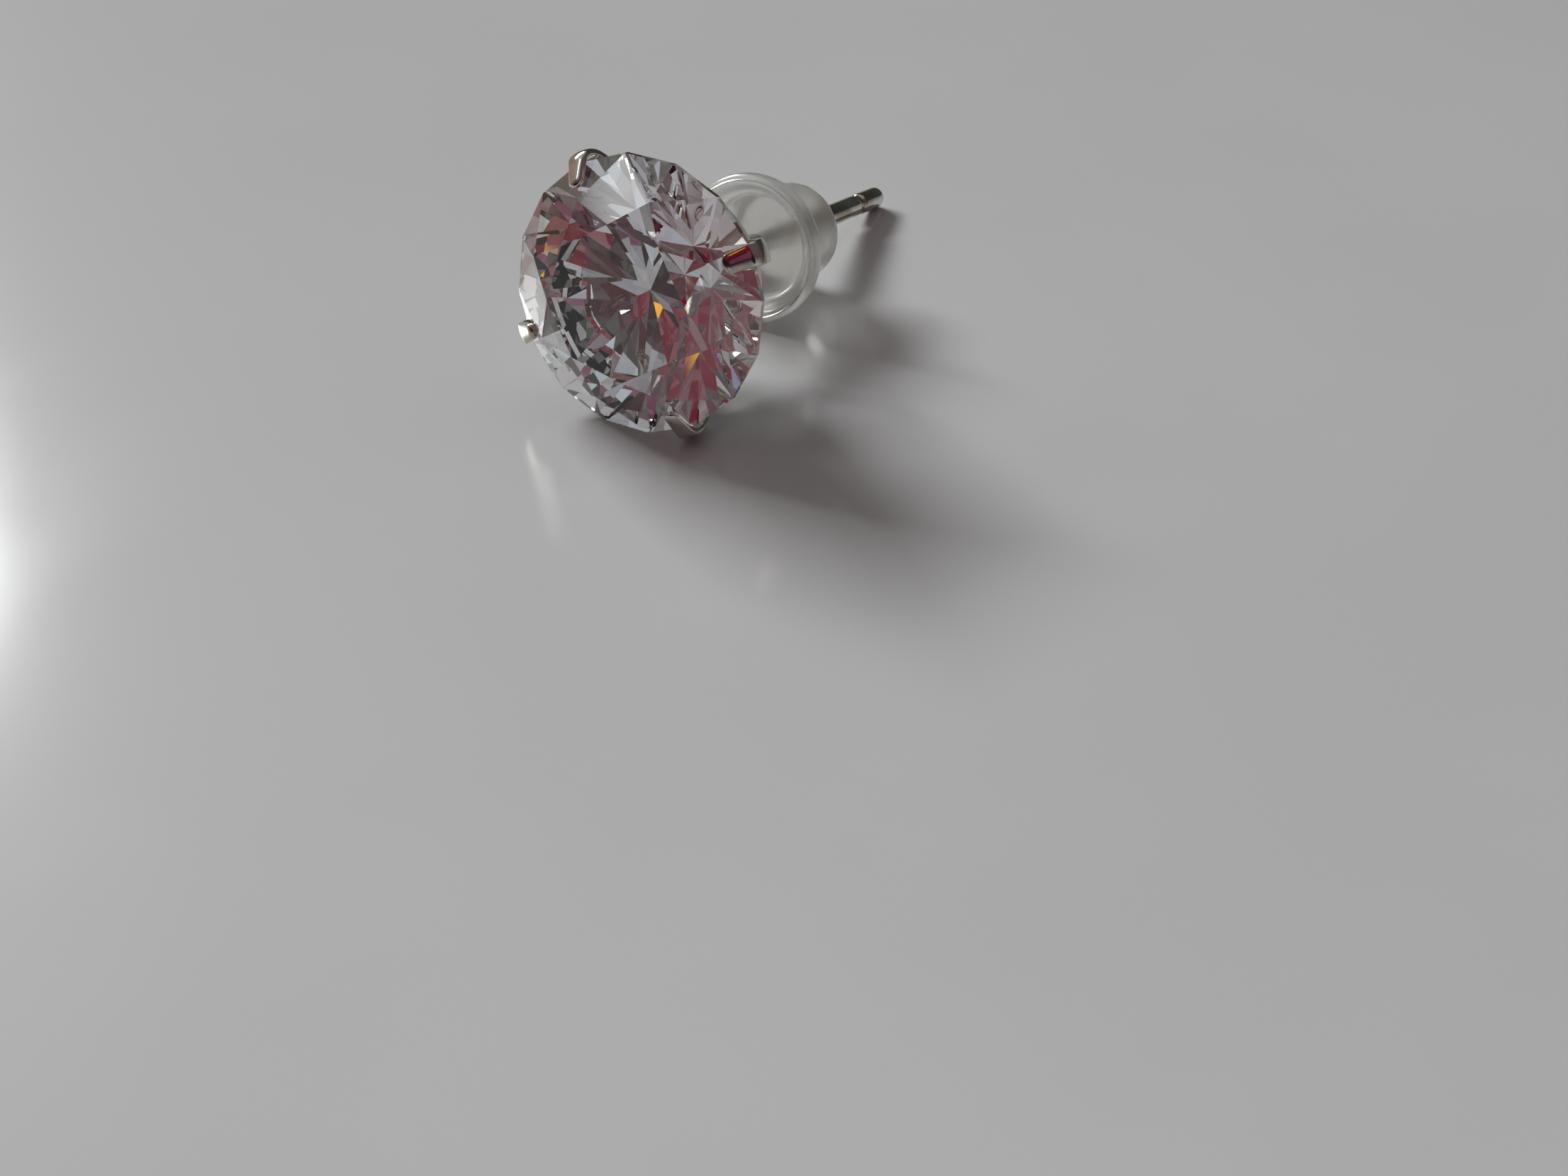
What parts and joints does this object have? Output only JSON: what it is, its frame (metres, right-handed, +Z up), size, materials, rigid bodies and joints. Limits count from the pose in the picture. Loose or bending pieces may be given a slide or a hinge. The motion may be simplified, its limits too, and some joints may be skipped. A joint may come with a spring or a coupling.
{
  "type": "stud earring",
  "caption": "Stud earring with a round brilliant-cut clear stone in a silver prong basket, a straight post soldered behind it and a soft clear ear nut that slides on the post.",
  "frame": {"origin": "on the surface that the earring lies on, at the bottom centre of its bounding box", "axes": "+Z up; +Y along the post from the stone to the tip, the longest extent; +X to the right of someone who looks at the stone's face"},
  "size_m": [0.0078, 0.0168, 0.0077],
  "materials": {
    "clear_stone": "colourless faceted cubic zirconia, polished, no coating",
    "polished_silver": "polished silver with slightly softened edges",
    "clear_rubber": "clear moulded silicone, slightly milky, glossy on the rim and the barrel"
  },
  "bodies": {
    "stud": {"prong_setting": "polished_silver", "stone": "clear_stone"},
    "nut": {"ear_nut": "clear_rubber"}
  },
  "joints": [
    {"name": "nut_slide", "type": "slide", "parent": "stud", "child": "nut", "axis": [0, 0.9735, -0.2286], "range_m": [-0.0021, 0.0092]}
  ]
}
